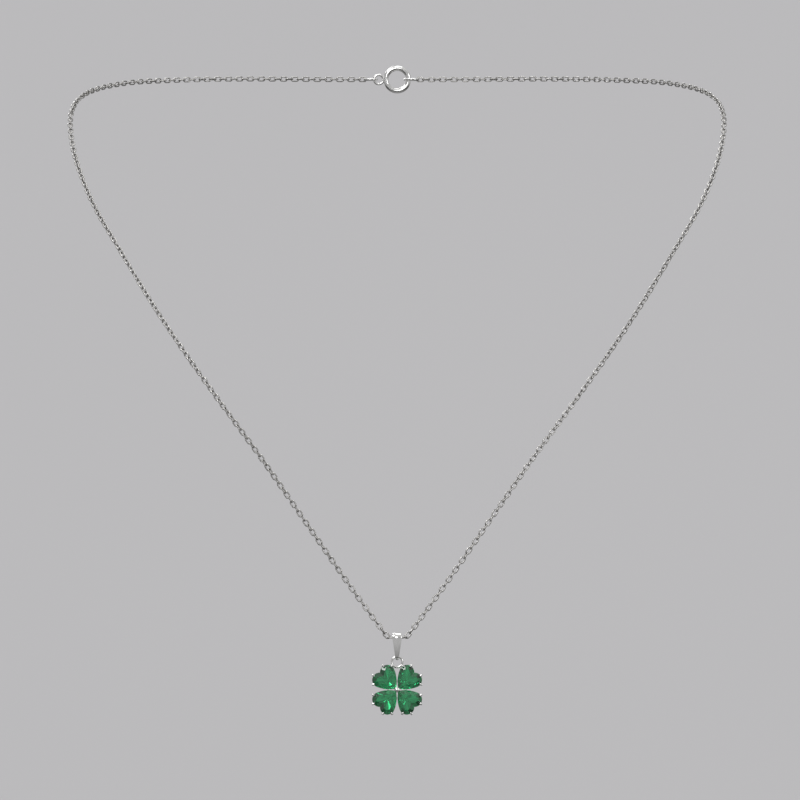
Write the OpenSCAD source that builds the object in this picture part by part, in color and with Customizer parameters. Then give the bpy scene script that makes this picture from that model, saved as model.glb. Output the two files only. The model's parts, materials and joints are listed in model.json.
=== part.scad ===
// Four leaf clover pendant on a fine chain, in millimetres.
// The origin is the middle of the neck that the chain goes round. +Z is up and the front faces -Y.

/* [Stones] */
// Width of a heart stone across its two lobes
heart_w = 4.85; // [4.6:0.05:5.1]
// Length of a heart stone from its point to the ends of its lobes
heart_l = 4.7; // [4.5:0.05:4.9]
// Radius of a heart's lobes
lobe_r = 1.4; // [1.35:0.05:1.5]
// Radius of the swell of a heart's sides
side_r = 6; // [5.5:0.5:9]
// Gap between neighbouring stones where their sides are nearest
leaf_gap = 0.15; // [0.12:0.01:0.3]
// Height of a stone's girdle
girdle_h = 0.12; // [0.08:0.02:0.2]
// Height of a stone's crown, from girdle to table
crown_h = 0.55; // [0.4:0.05:0.7]
// Depth of a stone's pavilion, from girdle to culet
pavilion_h = 1.65; // [1.4:0.05:1.75]
// Slope of the crown's main facets in degrees
crown_slope = 34; // [28:1:38]
// Slope of the star facets beside the table in degrees
star_slope = 19; // [12:1:22]
// How much steeper the small facets along the girdle are, in degrees
break_extra = 7; // [4:1:10]
// Gap between a stone and the metal that holds it
stone_gap = 0.04; // [0.03:0.01:0.06]

/* [Setting] */
// Diameter of a prong's wire
prong_d = 0.42; // [0.36:0.02:0.5]
// Height of the prongs' tips above the girdle's lower edge
prong_up = 0.42; // [0.36:0.02:0.5]
// Distance from a stone's outline to the middle of a prong
prong_out = 0.14; // [0.1:0.02:0.16]
// Lean of a prong in degrees, outwards at its top
prong_lean = 10; // [6:1:13]
// Height of each rail of a basket
rail_h = 0.38; // [0.3:0.02:0.45]
// Depth of the upper rail's top below the girdle
upper_rail_drop = 0.36; // [0.3:0.02:0.5]
// Depth of the baskets' feet below the girdle
basket_h = 1.98; // [1.9:0.02:2.2]
// Radius of the bead that holds the four points
bead_r = 0.52; // [0.46:0.02:0.6]
// Radius of the post under the bead
post_r = 0.34; // [0.3:0.02:0.36]
// Width of the bars between the baskets
bar_w = 0.46; // [0.4:0.02:0.6]

/* [Hanging] */
// Outer diameter of the ring above the clover
ring_d = 2.4; // [2.3:0.05:2.6]
// Diameter of that ring's wire
ring_wire = 0.42; // [0.36:0.02:0.46]
// Depth of the ring's middle behind the girdle
ring_back = 0.55; // [0.45:0.05:0.9]
// Thickness of the bail's strip
bail_t = 0.33; // [0.28:0.01:0.36]
// Width of the bail over the chain
bail_top_w = 1.8; // [1.4:0.1:1.9]
// Width of the bail at its lower end
bail_low_w = 0.56; // [0.5:0.02:0.66]
// Height from the ring's wire in the bail to the chain's middle
bail_drop = 3.5; // [3.2:0.05:4]
// Running gap of the bail round the chain
chain_gap = 0.12; // [0.1:0.01:0.2]
// Running gap of the bail round the ring's wire
ring_gap = 0.15; // [0.12:0.01:0.2]

/* [Chain and clasp] */
// Width of the chain's links
chain_d = 1.1; // [0.9:0.05:1.2]
// Outer diameter of the clasp's ring
clasp_d = 5.4; // [5:0.1:6]
// Diameter of the clasp's wire
clasp_wire = 1; // [0.9:0.05:1.1]
// Outer diameter of the small eye soldered to the clasp
eye_d = 2.25; // [2.2:0.05:2.5]
// Outer diameter of the end ring in the clasp's eye
left_ring_d = 2.9; // [2.8:0.05:3.2]
// Outer diameter of the end ring that the clasp closes on
right_ring_d = 3.2; // [3:0.05:3.4]
// Diameter of the wire of the eye and of the end rings
end_wire = 0.45; // [0.4:0.01:0.5]
// Gap between the clasp, the end rings and the chain's ends
end_gap = 0.08; // [0.05:0.01:0.15]

/* [Hidden] */
$fn = 64;

// The chain's route on one side, as [x, y, z] from the bail up and round to the nape
half_route = [
    [0.5, -66, -101.3], [1.1, -66, -101.3], [1.65, -65.97, -101.17], [2.07, -65.9, -100.81],
    [2.7, -65.74, -99.95], [7.5, -64.5, -93.4], [16.5, -61.5, -80.5], [25.5, -57, -67.5],
    [35, -50.5, -54.5], [44, -42, -41.5], [52, -31.5, -28.5], [58.5, -19, -17],
    [62, -7, -7], [62.5, 4, 0], [60, 15.5, 4], [53, 27, 6.5],
    [43, 35.5, 7.5], [29, 41.5, 8], [14, 44, 8]];
nape_y = 44.5;
nape_z = 8;
chain_sides = 8;
steps_per_point = 2;

// Colours of the polished silver and of the green stones
silver = "#c8cacd";
green = "#1f7a48";

// Shares of the stone's size for the rails' outlines and walls, and of the crown for the star facets
upper_rail_share = 1;
lower_rail_share = 0.84;
rail_wall_share = 0.21;
star_up_share = 0.8;

// Small places inside the setting
solder = 0.07;
prong_in = 0.2;
bead_up = 0.3;
bridge_out = 1.6;

// Places that follow from the sizes above
chain_y = half_route[0][1];
chain_z = half_route[0][2];
lobe_x = heart_w / 2 - lobe_r;
lobe_y = heart_l - lobe_r;
middle_y = heart_l * 0.48;
tip_out = sqrt(2) * (reach(-45, whole_outline()) + leaf_gap / 2);
lobe_out = tip_out + lobe_y;
ring_r = (ring_d - ring_wire) / 2;
ring_up = (lobe_out + lobe_x) / sqrt(2)
    + sqrt(pow(lobe_r + solder + ring_d / 2, 2) - pow((lobe_out - lobe_x) / sqrt(2), 2));
ring_z = chain_z - bail_drop - ring_r;
clover_y = chain_y - ring_back;
clover_z = ring_z - ring_up;

clasp_r = (clasp_d - clasp_wire) / 2;
eye_r = (eye_d - end_wire) / 2;
eye_x = -clasp_d / 2 - eye_r;
left_ring_r = (left_ring_d - end_wire) / 2;
right_ring_r = (right_ring_d - end_wire) / 2;
left_ring_x = eye_x - eye_r + end_wire + end_gap - left_ring_r;
right_ring_x = clasp_d / 2 - clasp_wire - end_wire / 2 - end_gap + right_ring_r;
left_end_x = left_ring_x - left_ring_d / 2 - end_gap;
right_end_x = right_ring_x + right_ring_d / 2 + end_gap;

// Directions of the facets of half a heart, in degrees from straight across it
main_turns = [-50, -26, 10, 48, 88, 128];
break_turns = [-38, -8, 29, 68, 108];
prong_turns = [10, 80];

// A heart's half outline: its point, its side, its lobe and its cleft, grown by a margin
function side_turn() =
    let (swell = side_r - lobe_r, far = norm([lobe_x, lobe_y]))
    atan2(lobe_y, lobe_x)
    - acos((far * far + swell * swell - side_r * side_r) / (2 * swell * far));
function side_centre() =
    [lobe_x, lobe_y] - (side_r - lobe_r) * [cos(side_turn()), sin(side_turn())];
function arc(centre, r, from, to, steps) =
    [for (i = [0:steps]) centre + r * [cos(from + (to - from) * i / steps), sin(from + (to - from) * i / steps)]];
function half_outline(grow = 0) =
    let (c = side_centre(), tip_turn = -acos(-c.x / (side_r + grow)), cleft_turn = acos(-lobe_x / (lobe_r + grow)))
    concat(arc(c, side_r + grow, tip_turn, side_turn(), 5),
        [for (i = [1:14]) arc([lobe_x, lobe_y], lobe_r + grow, side_turn(), cleft_turn, 14)[i]]);
function whole_outline(grow = 0) =
    let (half = half_outline(grow), n = len(half))
    concat(half, [for (i = [n - 2:-1:1]) [-half[i].x, half[i].y]]);

// How far an outline reaches in one direction
function reach(turn, outline) = max([for (p = outline) p * [cos(turn), sin(turn)]]);

// Smooth curve through the route's points: unit tangents weighted by the spans beside each point
function tangent(route, i) =
    let (n = len(route) - 1,
        a = i > 0 ? route[i] - route[i - 1] : route[1] - route[0],
        b = i < n ? route[i + 1] - route[i] : route[n] - route[n - 1])
    (a / norm(a) * norm(b) + b / norm(b) * norm(a)) / (norm(a) + norm(b));
function on_curve(route, i, s) =
    let (span = norm(route[i + 1] - route[i]))
    (2 * pow(s, 3) - 3 * s * s + 1) * route[i] + (3 * s * s - 2 * pow(s, 3)) * route[i + 1]
    + span * ((pow(s, 3) - 2 * s * s + s) * tangent(route, i) + (pow(s, 3) - s * s) * tangent(route, i + 1));
function mirrored(p) = [-p.x, p.y, p.z];
function whole_route() =
    concat([[left_end_x, nape_y, nape_z]],
        [for (i = [len(half_route) - 1:-1:0]) mirrored(half_route[i])],
        half_route,
        [[right_end_x, nape_y, nape_z]]);
function smooth(route, steps) =
    concat([for (i = [0:len(route) - 2], s = [0:steps - 1]) on_curve(route, i, s / steps)],
        [route[len(route) - 1]]);

// One ring of points round a place on the chain; the neck's axis keeps the rings from twisting
function tube_ring(line, i, r) =
    let (n = len(line) - 1,
        along = line[min(i + 1, n)] - line[max(i - 1, 0)],
        outward = cross(cross(along, [line[i].x, line[i].y, 0]), along),
        u = outward / norm(outward),
        v = cross(along, u) / norm(along))
    [for (k = [0:chain_sides - 1]) line[i] + r * (cos(360 * k / chain_sides) * u + sin(360 * k / chain_sides) * v)];

// What one facet plane cuts away from a stone. A slope below zero faces down, for the pavilion.
module facet_cut(turn, out, level, slope) {
    size = 4 * heart_w;
    rotate([0, 0, turn])
        translate([out, 0, level])
            rotate([0, (slope < 0 ? 90 : -90) + slope, 0])
                translate([0, -size / 2, -size / 2])
                    cube(size);
}

// The right half of a stone, point at the origin, lobes towards +Y, table up.
// The girdle's lower edge is at zero height. Grown by a margin it cuts the stone's seat.
module half_stone(grow) {
    outline = half_outline(grow);
    top = girdle_h + grow;
    culet = pavilion_h + 1.5 * grow;
    difference() {
        translate([0, 0, -culet])
            linear_extrude(culet + top + crown_h)
                polygon(outline);
        for (turn = main_turns) {
            out = reach(turn, outline);
            to_culet = out - middle_y * sin(turn);
            facet_cut(turn, out, top, crown_slope);
            facet_cut(turn, out, -grow, -atan(culet / to_culet));
        }
        for (turn = break_turns) {
            out = reach(turn, outline);
            to_culet = out - middle_y * sin(turn);
            facet_cut(turn, out, top, crown_slope + break_extra);
            facet_cut(turn, out, -grow, -atan(culet / to_culet) - break_extra);
            facet_cut(turn, out - crown_h, top + star_up_share * crown_h, star_slope);
        }
    }
}

module heart_stone(grow = 0) {
    half_stone(grow);
    mirror([1, 0, 0])
        half_stone(grow);
}

// Puts a leaf in its place in the clover, which stands upright and faces -Y
module in_clover() {
    translate([0, clover_y, clover_z])
        rotate([90, 0, 0])
            children();
}
module in_leaf(turn) {
    rotate([0, 0, turn])
        translate([0, tip_out, 0])
            children();
}

// A heart-shaped plate at a share of the stone's size, about the stone's middle
module heart_plate(share) {
    translate([0, middle_y])
        scale([share, share])
            translate([0, -middle_y])
                polygon(whole_outline());
}
module rail(share, foot) {
    translate([0, 0, foot])
        linear_extrude(rail_h)
            difference() {
                heart_plate(share);
                heart_plate(share - rail_wall_share);
            }
}

// A prong on a lobe: a leaning wire with a round end, turned in over the stone
module prong(turn) {
    translate([lobe_x, lobe_y, 0])
        rotate([0, 0, turn])
            translate([lobe_r + prong_out, 0, prong_up]) {
                rotate([0, 180 + prong_lean, 0])
                    cylinder(h = (prong_up + basket_h) / cos(prong_lean), d = prong_d);
                sphere(d = prong_d);
                rotate([0, -90, 0])
                    cylinder(h = prong_in, d = prong_d);
                translate([-prong_in, 0, 0])
                    sphere(d = prong_d);
            }
}

module basket() {
    rail(upper_rail_share, -upper_rail_drop - rail_h);
    rail(lower_rail_share, -basket_h);
    for (side = [0, 1], turn = prong_turns)
        mirror([side, 0, 0])
            prong(turn);
}

// The post with its bead in the middle, and the bars that solder basket to basket
module centre() {
    to_rail = tip_out + middle_y * (1 - lower_rail_share + rail_wall_share);
    translate([0, 0, -basket_h])
        cylinder(h = basket_h + bead_up, r = post_r);
    translate([0, 0, bead_up])
        scale([1, 1, 0.6])
            sphere(r = bead_r);
    translate([0, 0, -upper_rail_drop - rail_h])
        cylinder(h = rail_h, r = tip_out + middle_y * rail_wall_share / 2);
    for (turn = [0:90:270]) {
        rotate([0, 0, turn])
            translate([bridge_out - bar_w / 2, -bar_w, -upper_rail_drop - rail_h])
                cube([bar_w, 2 * bar_w, rail_h]);
        rotate([0, 0, turn + 45])
            translate([0, -bar_w / 2, -basket_h])
                cube([to_rail, bar_w, rail_h]);
    }
}

module torus(r, wire) {
    rotate_extrude()
        translate([r, 0])
            circle(d = wire);
}

module setting() {
    color(silver)
        in_clover()
            difference() {
                union() {
                    centre();
                    for (turn = [45:90:315])
                        in_leaf(turn)
                            basket();
                    translate([0, ring_up, -ring_back])
                        torus(ring_r, ring_wire);
                }
                for (turn = [45:90:315])
                    in_leaf(turn)
                        heart_stone(stone_gap);
            }
}

module leaf_stone(turn) {
    color(green)
        in_clover()
            in_leaf(turn)
                heart_stone();
}
module heart_stone_upper_left() {
    leaf_stone(45);
}
module heart_stone_upper_right() {
    leaf_stone(-45);
}
module heart_stone_lower_left() {
    leaf_stone(135);
}
module heart_stone_lower_right() {
    leaf_stone(-135);
}

// Drop shape of the bail from the side: two arcs joined by their common tangents
function drop_outline(top_r, low_r) =
    let (lean = asin((low_r - top_r) / bail_drop))
    concat(arc([0, 0], top_r, lean, 180 - lean, 20),
        arc([0, -bail_drop], low_r, 180 - lean, 360 + lean, 14));

module bail() {
    over_chain = chain_d / 2 + chain_gap;
    under_ring = ring_wire / 2 + ring_gap;
    top = over_chain + bail_t;
    bottom = -bail_drop - under_ring - bail_t;
    color(silver)
        translate([0, chain_y, chain_z])
            intersection() {
                rotate([90, 0, 90])
                    linear_extrude(bail_top_w, center = true)
                        difference() {
                            polygon(drop_outline(over_chain + bail_t, under_ring + bail_t));
                            polygon(drop_outline(over_chain, under_ring));
                        }
                rotate([90, 0, 0])
                    linear_extrude(4 * top, center = true)
                        polygon([[bail_top_w / 2, top], [bail_top_w / 2, 0], [bail_low_w / 2, bottom],
                            [-bail_low_w / 2, bottom], [-bail_top_w / 2, 0], [-bail_top_w / 2, top]]);
            }
}

module chain() {
    line = smooth(whole_route(), steps_per_point);
    rings = [for (i = [0:len(line) - 1]) tube_ring(line, i, chain_d / 2)];
    last = (len(line) - 1) * chain_sides;
    color(silver)
        polyhedron(
            points = [for (ring = rings) each ring],
            faces = concat(
                [[for (k = [0:chain_sides - 1]) k]],
                [for (i = [0:len(line) - 2], k = [0:chain_sides - 1])
                    let (a = i * chain_sides + k, b = i * chain_sides + (k + 1) % chain_sides)
                    [a, a + chain_sides, b + chain_sides, b]],
                [[for (k = [chain_sides - 1:-1:0]) last + k]]));
}

// The clasp and its end rings stand at the nape. The clasp is upright and the end rings lie flat.
module at_nape(x) {
    translate([x, nape_y, nape_z])
        children();
}
module clasp() {
    color(silver) {
        at_nape(0)
            rotate([90, 0, 0])
                torus(clasp_r, clasp_wire);
        at_nape(eye_x)
            rotate([90, 0, 0])
                torus(eye_r, end_wire);
    }
}
module end_ring_left() {
    color(silver)
        at_nape(left_ring_x)
            torus(left_ring_r, end_wire);
}
module end_ring_right() {
    color(silver)
        at_nape(right_ring_x)
            torus(right_ring_r, end_wire);
}

chain();
clasp();
end_ring_left();
end_ring_right();
bail();
setting();
heart_stone_upper_left();
heart_stone_upper_right();
heart_stone_lower_left();
heart_stone_lower_right();
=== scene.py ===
import bmesh
import bpy
import json
import math
import random
from mathutils import Matrix, Vector
from mathutils.geometry import interpolate_bezier


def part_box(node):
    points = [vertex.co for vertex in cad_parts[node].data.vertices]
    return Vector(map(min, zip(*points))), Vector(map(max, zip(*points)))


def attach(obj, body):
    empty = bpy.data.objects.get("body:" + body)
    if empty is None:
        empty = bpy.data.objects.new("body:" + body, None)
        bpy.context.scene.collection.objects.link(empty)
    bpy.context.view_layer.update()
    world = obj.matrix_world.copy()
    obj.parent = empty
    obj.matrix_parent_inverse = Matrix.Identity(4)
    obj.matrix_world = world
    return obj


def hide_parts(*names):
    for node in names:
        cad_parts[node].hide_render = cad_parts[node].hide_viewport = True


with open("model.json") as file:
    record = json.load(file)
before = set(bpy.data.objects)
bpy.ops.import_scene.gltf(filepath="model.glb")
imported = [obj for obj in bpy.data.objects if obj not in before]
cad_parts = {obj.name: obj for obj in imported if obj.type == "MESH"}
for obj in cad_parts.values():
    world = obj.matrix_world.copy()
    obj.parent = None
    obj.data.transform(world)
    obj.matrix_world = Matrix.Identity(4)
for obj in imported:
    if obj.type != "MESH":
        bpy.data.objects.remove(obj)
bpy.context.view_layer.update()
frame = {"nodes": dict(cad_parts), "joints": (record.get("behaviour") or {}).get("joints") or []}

mm = 0.001

# Camera
# The photograph is taken level with the pendant, from about three metres. The picture keeps the part of
# it round the necklace, 280 of its 800 pixels, at 0.54 mm to a pixel between the neck and the pendant.
photo_pixel = 0.54 * mm
photo_origin = Vector((401, 176))
photo_level = 400
photo_depth = -40 * mm
picture_centre = Vector((402, 280))
picture_pixels = 280
camera_distance = 3.0
sensor_width = 36

camera_data = bpy.data.cameras.new("camera")
camera_data.sensor_width = sensor_width
camera_data.lens = sensor_width * camera_distance / (picture_pixels * photo_pixel)
camera_data.clip_start = 0.1
camera_data.clip_end = 20
camera = bpy.data.objects.new("camera", camera_data)
bpy.context.scene.collection.objects.link(camera)
looked_at = Vector((
    (picture_centre.x - photo_origin.x) * photo_pixel,
    photo_depth,
    (photo_origin.y - picture_centre.y) * photo_pixel,
))
camera.location = (looked_at.x, photo_depth - camera_distance, (photo_origin.y - photo_level) * photo_pixel)
camera.rotation_euler = (looked_at - camera.location).to_track_quat("-Z", "Y").to_euler()
bpy.context.scene.camera = camera
bpy.context.scene.view_settings.view_transform = "Standard"


# Studio
# A pale floor curves up into a pale wall all the way round, and both glow softly, which evens the picture's
# ground. Soft boxes stand round the necklace, and the room reflected in its silver is bright and dark.
floor_drop = 0.34
floor_radius = 4.2
cove_radius = 0.8
wall_height = 4.5
cove_steps = 10
round_steps = 96
wall_tone = (0.250, 0.248, 0.252, 1)
wall_cloud = (0.238, 0.236, 0.240, 1)
wall_glow = 1.42
wall_grain_scale = 1.5
lit_point = Vector((0, 0, -50 * mm))
room_tones = [
    (0.0, (0.34, 0.34, 0.34, 1)),
    (0.14, (0.16, 0.16, 0.16, 1)),
    (0.24, (0.05, 0.05, 0.05, 1)),
    (0.33, (0.28, 0.28, 0.28, 1)),
    (0.45, (0.50, 0.50, 0.505, 1)),
    (0.58, (0.36, 0.36, 0.365, 1)),
    (1.0, (0.80, 0.80, 0.80, 1)),
]
soft_boxes = [
    {"name": "key", "at": (-1.2, -1.05, 1.7), "size": 0.9, "watts": 13},
    {"name": "fill", "at": (1.6, -1.2, 0.5), "size": 0.8, "watts": 6},
    {"name": "top", "at": (0.2, 0.3, 2.0), "size": 1.2, "watts": 10},
    {"name": "back", "at": (-0.6, 1.9, 0.9), "size": 0.9, "watts": 8},
    {"name": "front", "at": (-0.3, -2.5, 0.6), "size": 0.9, "watts": 9},
]


class Signal:
    """A value in a node tree. Sums, differences and products of signals add their Math nodes."""

    def __init__(self, tree, socket=None):
        self.tree = tree
        self.socket = socket

    def node(self, kind, values=None, settings=None, output=0):
        """Adds a node, first its settings, then a value or a link for each socket, and returns an output."""
        made = self.tree.nodes.new(kind)
        for name, setting in (settings or {}).items():
            if name == "stops":
                made.color_ramp.elements[0].position, made.color_ramp.elements[0].color = setting[0]
                made.color_ramp.elements[1].position, made.color_ramp.elements[1].color = setting[-1]
                for position, colour in setting[1:-1]:
                    made.color_ramp.elements.new(position).color = colour
            else:
                setattr(made, name, setting)
        for name, value in (values or {}).items():
            self.set(made.inputs[name], value)
        return Signal(self.tree, made.outputs[output])

    def set(self, socket, value):
        """Links a signal to a socket, or sets its value."""
        if isinstance(value, Signal):
            self.tree.links.new(value.socket, socket)
        else:
            socket.default_value = value

    def math(self, operation, other, swapped=False):
        first, second = (other, self) if swapped else (self, other)
        return self.node("ShaderNodeMath", {0: first, 1: second}, {"operation": operation})

    def mix(self, factor, colour, other):
        """Blends two colours."""
        values = {"Factor": factor, "A": colour, "B": other}
        made = self.node("ShaderNodeMix", settings={"data_type": "RGBA"}, output=2)
        for socket in made.socket.node.inputs:
            if socket.name in values and socket.enabled:
                self.set(socket, values[socket.name])
        return made

    def __add__(self, other):
        return self.math("ADD", other)

    def __sub__(self, other):
        return self.math("SUBTRACT", other)

    def __mul__(self, other):
        return self.math("MULTIPLY", other)

    def __rsub__(self, other):
        return self.math("SUBTRACT", other, swapped=True)

    __radd__ = __add__
    __rmul__ = __mul__


def new_material(name):
    """A material, its shader, and a signal that its nodes start from."""
    material = bpy.data.materials.new(name)
    material.use_nodes = True
    return material, material.node_tree.nodes["Principled BSDF"], Signal(material.node_tree)


def new_piece(name, bm, material):
    """Makes an object of a finished bmesh, with smooth faces."""
    mesh = bpy.data.meshes.new(name)
    bmesh.ops.recalc_face_normals(bm, faces=bm.faces)
    bm.to_mesh(mesh)
    bm.free()
    mesh.materials.append(material)
    mesh.shade_smooth()
    piece = bpy.data.objects.new(name, mesh)
    bpy.context.scene.collection.objects.link(piece)
    return piece


wall_paint, wall_shader, start = new_material("pale_wall")
wall_shader.inputs["Roughness"].default_value = 1
wall_shader.inputs["Specular IOR Level"].default_value = 0
place = start.node("ShaderNodeTexCoord", output="Object")
grain = start.node("ShaderNodeTexNoise", {"Vector": place, "Scale": wall_grain_scale})
for socket_name in ("Base Color", "Emission Color"):
    start.set(wall_shader.inputs[socket_name], start.mix(grain, wall_tone, wall_cloud))
wall_shader.inputs["Emission Strength"].default_value = wall_glow

studio_bm = bmesh.new()
middle = studio_bm.verts.new((0, 0, -floor_drop))
rim = studio_bm.verts.new((floor_radius, 0, -floor_drop))
studio_bm.edges.new((middle, rim))
cove = bmesh.ops.spin(
    studio_bm, geom=[rim], cent=(floor_radius, 0, cove_radius - floor_drop), axis=(0, -1, 0),
    angle=math.radians(90), steps=cove_steps,
)
top = cove["geom_last"][0]
wall = bmesh.ops.extrude_vert_indiv(studio_bm, verts=[top])
bmesh.ops.translate(studio_bm, verts=wall["verts"], vec=(0, 0, wall_height))
bmesh.ops.spin(
    studio_bm, geom=studio_bm.verts[:] + studio_bm.edges[:], cent=(0, 0, 0), axis=(0, 0, 1),
    angle=math.radians(360), steps=round_steps, use_merge=True,
)
bmesh.ops.remove_doubles(studio_bm, verts=studio_bm.verts, dist=mm)
studio = new_piece("studio", studio_bm, wall_paint)
studio.visible_shadow = False
studio.visible_glossy = False

for box in soft_boxes:
    light = bpy.data.lights.new(box["name"], "AREA")
    light.shape = "DISK"
    light.size = box["size"]
    light.energy = box["watts"]
    lamp = bpy.data.objects.new(box["name"], light)
    bpy.context.scene.collection.objects.link(lamp)
    lamp.location = box["at"]
    lamp.rotation_mode = "QUATERNION"
    lamp.rotation_quaternion = (lit_point - lamp.location).to_track_quat("-Z", "Y")

world = bpy.data.worlds.new("room")
world.use_nodes = True
bpy.context.scene.world = world
start = Signal(world.node_tree)
toward = start.node("ShaderNodeTexCoord", output="Generated")
height = start.node("ShaderNodeSeparateXYZ", {"Vector": toward}, output="Z")
ramp = start.node("ShaderNodeValToRGB", {"Fac": height * 0.5 + 0.5}, {"stops": room_tones}, "Color")
start.set(world.node_tree.nodes["Background"].inputs["Color"], ramp)


# Chain
# A fine cable chain of silver wire: oval links, each turned a quarter against the next. It lies round the
# neck and dips in front to the bail. Its ends are held by the two round rings of the clasp.
half_route = [
    (0.5, -66, -101.3), (1.1, -66, -101.3), (1.65, -65.97, -101.17), (2.07, -65.9, -100.81),
    (2.7, -65.74, -99.95), (7.5, -64.5, -93.4), (16.5, -61.5, -80.5), (25.5, -57, -67.5),
    (35, -50.5, -54.5), (44, -42, -41.5), (52, -31.5, -28.5), (58.5, -19, -17),
    (62, -7, -7), (62.5, 4, 0), (60, 15.5, 4), (53, 27, 6.5),
    (43, 35.5, 7.5), (29, 41.5, 8), (14, 44, 8),
]
link_width = 1.08 * mm
link_wire = 0.27 * mm
link_pitch = 1.1 * mm
link_play = 0.04 * mm
link_steps = 16
wire_sides = 6
link_turn = 6
curve_steps = 24
chain_seed = 7
# The chain's silver is the polished silver painted much darker: painted shade for the shadow on and between
# its links.
chain_shaded_tone = (0.48, 0.47, 0.455, 1)
chain_roughness = 0.2
chain_unevenness = 0.004 * mm
mark_scale = 9000
cloud_scale = 1400
cloud_shade = 0.80


def silver(name, tone, roughness, unevenness):
    """Polished silver: fine polishing marks in its gloss, faint clouding, and a slightly uneven surface."""
    material, shader, start = new_material(name)
    place = start.node("ShaderNodeTexCoord", output="Object")
    marks = start.node(
        "ShaderNodeTexNoise", {"Vector": place, "Scale": mark_scale, "Detail": 4, "Roughness": 0.6},
    )
    cloud = start.node("ShaderNodeTexNoise", {"Vector": place, "Scale": cloud_scale, "Detail": 2})
    shade = tuple(cloud_shade * part for part in tone[:3]) + (1,)
    start.set(shader.inputs["Base Color"], start.mix(cloud, tone, shade))
    start.set(shader.inputs["Roughness"], roughness * (0.6 + 0.8 * marks))
    start.set(shader.inputs["Normal"], start.node(
        "ShaderNodeBump", {"Strength": 0.25, "Distance": unevenness, "Height": cloud + 0.25 * marks},
    ))
    shader.inputs["Metallic"].default_value = 1
    return material


def end_of(node, side):
    """The inside of an end ring's wire at the nape, where the chain's first or last link holds it."""
    low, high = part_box(node)
    wire = high.z - low.z
    return Vector((low.x + wire if side < 0 else high.x - wire, (low.y + high.y) / 2, (low.z + high.z) / 2))


def whole_route():
    """The chain's points from the left end ring round the front to the right end ring."""
    right = [Vector(point) * mm for point in half_route]
    left = [Vector((-point.x, point.y, point.z)) for point in reversed(right)]
    return [end_of("end_ring_left", -1)] + left + right + [end_of("end_ring_right", 1)]


def tangent(route, i):
    """The route's direction at a point, weighted by the spans beside it."""
    last = len(route) - 1
    before = route[i] - route[i - 1] if i > 0 else route[1] - route[0]
    after = route[i + 1] - route[i] if i < last else route[last] - route[last - 1]
    turned = before.normalized() * after.length + after.normalized() * before.length
    return turned / (before.length + after.length)


def smooth_line(route):
    """The chain's smooth curve as many short steps."""
    line = [route[0]]
    for i in range(len(route) - 1):
        reach = (route[i + 1] - route[i]).length / 3
        handle = route[i] + tangent(route, i) * reach
        next_handle = route[i + 1] - tangent(route, i + 1) * reach
        line += interpolate_bezier(route[i], handle, next_handle, route[i + 1], curve_steps + 1)[1:]
    return line


def spaced(line, pitch):
    """Points at equal distances along a line, an even number of them, about one pitch apart."""
    steps = [(b - a).length for a, b in zip(line, line[1:])]
    count = 2 * round(sum(steps) / pitch / 2 - 0.5) + 1
    gap = sum(steps) / count
    points, walked, i = [line[0]], 0, 0
    for k in range(1, count):
        while walked + steps[i] < k * gap:
            walked += steps[i]
            i += 1
        points.append(line[i].lerp(line[i + 1], (k * gap - walked) / steps[i]))
    return points + [line[-1]]


def ring_of_wire(radius, wire, steps, sides):
    """A round ring of wire about the z axis."""
    bm = bmesh.new()
    bmesh.ops.create_circle(bm, segments=sides, radius=wire / 2)
    bmesh.ops.rotate(bm, verts=bm.verts, matrix=Matrix.Rotation(math.radians(90), 3, "X"))
    bmesh.ops.translate(bm, verts=bm.verts, vec=(radius, 0, 0))
    bmesh.ops.rotate(bm, verts=bm.verts, matrix=Matrix.Rotation(math.pi / steps, 3, "Z"))
    bmesh.ops.spin(
        bm, geom=bm.verts[:] + bm.edges[:], cent=(0, 0, 0), axis=(0, 0, 1),
        angle=math.radians(360), steps=steps, use_merge=True,
    )
    return bm


joints = spaced(smooth_line(whole_route()), link_pitch)
pitch = (joints[1] - joints[0]).length
link_length = pitch + link_play + 2 * link_wire
link_bm = ring_of_wire((link_width - link_wire) / 2, link_wire, link_steps, wire_sides)
for side in (-1, 1):
    end_verts = [vert for vert in link_bm.verts if vert.co.x * side > 0]
    bmesh.ops.translate(link_bm, verts=end_verts, vec=(side * (link_length - link_width) / 2, 0, 0))
bmesh.ops.recalc_face_normals(link_bm, faces=link_bm.faces)
link_mesh = bpy.data.meshes.new("link")
link_bm.to_mesh(link_mesh)
link_bm.free()

random.seed(chain_seed)
chain_bm = bmesh.new()
for i, (here, there) in enumerate(zip(joints, joints[1:])):
    along = (there - here).normalized()
    centre = (here + there) / 2
    outward = along.cross(Vector((centre.x, centre.y, 0))).cross(along).normalized()
    across = outward.cross(along)
    turn = math.radians(90 * (i % 2) + random.gauss(0, link_turn))
    width = across * math.cos(turn) + outward * math.sin(turn)
    axes = Matrix((along, width, along.cross(width))).transposed().to_4x4()
    moved = link_mesh.copy()
    moved.transform(Matrix.Translation(centre) @ axes)
    chain_bm.from_mesh(moved)
    bpy.data.meshes.remove(moved)

# The chain gets its own silver, painted darker as painted shade.
chain_shaded_silver = silver("chain_shaded_silver", chain_shaded_tone, chain_roughness, chain_unevenness)
chain_links = new_piece("chain_links", chain_bm, chain_shaded_silver)
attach(chain_links, "necklace")
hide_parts("chain")


# Clasp and end rings
# A spring ring closes the chain at the nape. It is a round of silver tube with a small eye soldered to it,
# and the chain's two end rings are of plain round wire.
polish_tone = (0.90, 0.895, 0.88, 1)
polish_roughness = 0.12
polish_unevenness = 0.003 * mm

polished_silver = silver("polished_silver", polish_tone, polish_roughness, polish_unevenness)
for node in ("clasp", "end_ring_left", "end_ring_right"):
    frame["nodes"][node].data.materials[0] = polished_silver


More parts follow.
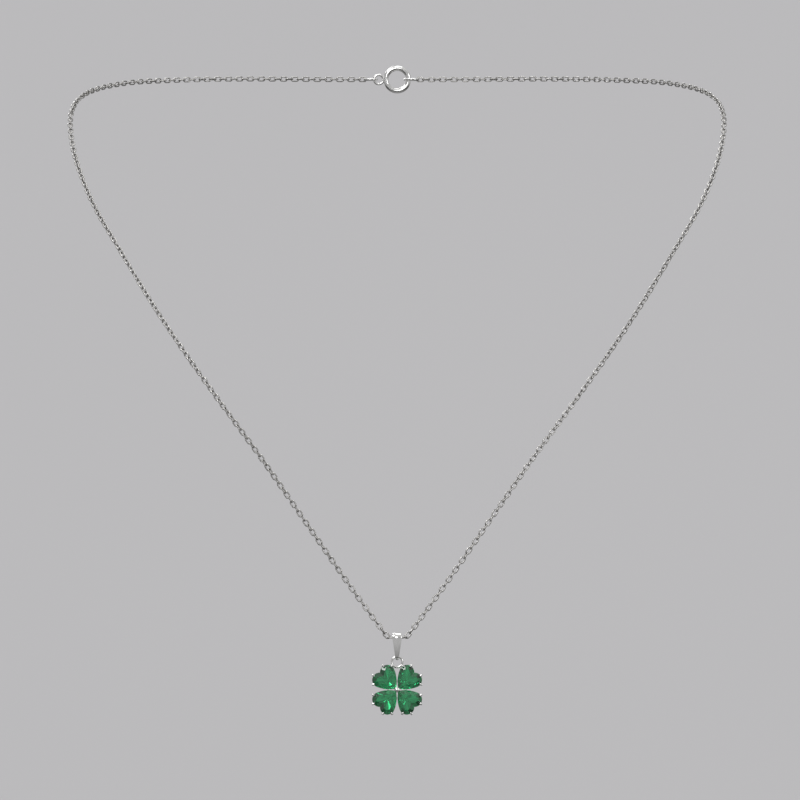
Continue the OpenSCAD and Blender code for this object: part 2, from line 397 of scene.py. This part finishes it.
# Bail
# A strip of silver folded over the chain, wide at the top and narrow where its ends are soldered together
# round the ring. Its outside is domed, its front and back bow a little, and its edges are polished round.
bail_low, bail_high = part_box("bail")
chain_joint = Vector(frame["joints"][0]["pos_m"])
strip_thickness = 0.33 * mm
strip_low_share = 0.31
strip_dome = 0.16 * mm
strip_bow = 0.16 * mm
strip_edge = 0.08 * mm
strip_steps = 18
corner_steps = 3
dome_cuts = 7
ring_space = 0.36 * mm


def strip_section(width):
    """The strip's section as a loop of edges: flat inside, domed outside, with rounded corners."""
    bm = bmesh.new()
    bmesh.ops.create_grid(bm, x_segments=1, y_segments=1, size=0.5)
    bmesh.ops.scale(bm, verts=bm.verts, vec=(width, strip_thickness, 1))
    bmesh.ops.bevel(
        bm, geom=bm.verts[:], offset=strip_edge, offset_type="OFFSET", affect="VERTICES",
        segments=corner_steps, profile=0.5, material=-1,
    )
    outside = max(bm.edges, key=lambda edge: edge.verts[0].co.y + edge.verts[1].co.y)
    bmesh.ops.subdivide_edges(bm, edges=[outside], cuts=dome_cuts)
    for vert in bm.verts:
        if vert.co.y > 0:
            vert.co.y -= strip_dome * (2 * vert.co.x / width) ** 2
    bmesh.ops.delete(bm, geom=bm.faces[:], context="FACES_ONLY")
    return bm


def folded_strip():
    """The strip swept over the chain, down to the ring, round it and up again, then tapered and bowed."""
    bm = strip_section(bail_high.x - bail_low.x)
    top_radius = bail_high.z - chain_joint.z - strip_thickness / 2
    low_radius = ring_space + strip_thickness / 2
    down = Vector((0, 0, bail_low.z + low_radius + strip_thickness / 2 - chain_joint.z))
    lean = math.asin((low_radius - top_radius) / down.length)
    start_turn = Matrix.Rotation(lean, 3, "X")
    bmesh.ops.translate(bm, verts=bm.verts, vec=(0, top_radius, 0))
    bmesh.ops.rotate(bm, verts=bm.verts, matrix=start_turn)
    section = bm.verts[:] + bm.edges[:]
    for centre, turn, to_next, growth in (
        (Vector(), math.pi - 2 * lean, down, low_radius - top_radius),
        (down, math.pi + 2 * lean, -down, top_radius - low_radius),
    ):
        swept = bmesh.ops.spin(
            bm, geom=section, cent=centre, axis=(1, 0, 0), angle=turn, steps=strip_steps,
        )
        loop = [part for part in swept["geom_last"] if isinstance(part, bmesh.types.BMEdge)]
        grown = bmesh.ops.extrude_edge_only(bm, edges=loop)["geom"]
        verts = [part for part in grown if isinstance(part, bmesh.types.BMVert)]
        middle = sum((vert.co for vert in verts), Vector()) / len(verts)
        outward = Vector((0, middle.y - centre.y, middle.z - centre.z)).normalized()
        bmesh.ops.translate(bm, verts=verts, vec=to_next + outward * growth)
        section = verts + [
            part for part in grown
            if isinstance(part, bmesh.types.BMEdge) and all(vert in verts for vert in part.verts)
        ]
    bmesh.ops.remove_doubles(bm, verts=bm.verts, dist=0.001 * mm)
    bmesh.ops.translate(bm, verts=bm.verts, vec=chain_joint)
    for vert in bm.verts:
        below = max(0, chain_joint.z - vert.co.z) / (chain_joint.z - bail_low.z)
        vert.co.x *= 1 - (1 - strip_low_share) * below
        vert.co.y += math.copysign(strip_bow * math.sin(math.pi * below), vert.co.y - chain_joint.y)
    return bm


bail = new_piece("bail_strip", folded_strip(), polished_silver)
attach(bail, "bail")
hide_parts("bail")


# Setting
# Four heart-shaped baskets of silver, soldered to a post with a round bead on it and to each other, with
# eight pairs of prongs bent over the stones, and a ring on top that hangs in the bail.
frame["nodes"]["setting"].data.materials[0] = polished_silver


# Stones
# Four heart-cut stones of clear dark green, points to the middle. Each has a flat table, and facets above
# and below its girdle that are cut flat and polished. A noise of each facet's direction paints it a lit or a
# shaded green: painted glints and painted shade for the stone's brilliance.
stone_lit_green = (0.034, 0.60, 0.21, 1)
stone_shaded_green = (0.003, 0.11, 0.039, 1)
stone_ior = 1.76
stone_clearness = 0.85
veil_scale = 700
painted_glint_scale = 3.1
painted_glint_contrast = 3.6
painted_glint_shift = 1.4

stone, shader, start = new_material("green_stone_cut")
place = start.node("ShaderNodeTexCoord", output="Object")
veil = start.node(
    "ShaderNodeTexNoise", {"Vector": place, "Scale": veil_scale, "Detail": 3, "Distortion": 0.6},
)
# Painted light: each facet's direction picks a lit or a shaded green, painted glints and shade for
# brilliance.
facet = start.node("ShaderNodeTexCoord", output="Normal")
painted_facet_glint = start.node("ShaderNodeTexNoise", {"Vector": facet, "Scale": painted_glint_scale, "Detail": 1})
painted_facet_light = painted_glint_contrast * painted_facet_glint - painted_glint_shift
start.set(shader.inputs["Base Color"], start.mix(painted_facet_light, stone_shaded_green, stone_lit_green))
start.set(shader.inputs["Roughness"], 0.01 + 0.04 * veil)
shader.inputs["IOR"].default_value = stone_ior
shader.inputs["Transmission Weight"].default_value = stone_clearness
for name, node in frame["nodes"].items():
    if name.startswith("heart_stone"):
        node.data.materials[0] = stone
